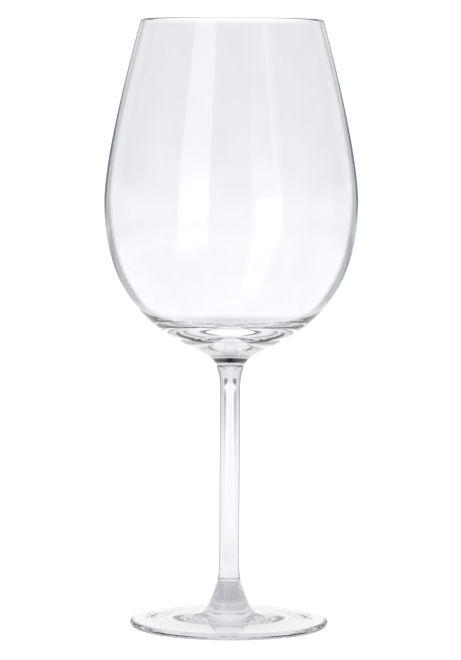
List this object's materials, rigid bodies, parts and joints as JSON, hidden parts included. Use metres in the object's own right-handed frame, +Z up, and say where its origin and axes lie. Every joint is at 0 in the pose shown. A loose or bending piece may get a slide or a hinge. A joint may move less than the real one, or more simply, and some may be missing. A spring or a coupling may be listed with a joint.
{
  "type": "wine glass",
  "caption": "Tall stemmed wine glass: egg-shaped bowl narrowing to the rim, straight slender stem and low domed round foot, in clear glass.",
  "frame": {"origin": "centre of the foot, on the surface that the glass stands on", "axes": "+Z up along the axis of the stem, towards the rim; the glass is round, so +X and +Y are free"},
  "size_m": [0.1044, 0.1044, 0.25],
  "materials": {
    "bowl_glass": "clear, fire-polished, thin wall",
    "stem_glass": "clear, fire-polished, solid rod",
    "foot_glass": "clear, pressed and fire-polished disc"
  },
  "bodies": {
    "root": {"bowl": "bowl_glass", "stem": "stem_glass", "foot": "foot_glass"}
  },
  "joints": []
}
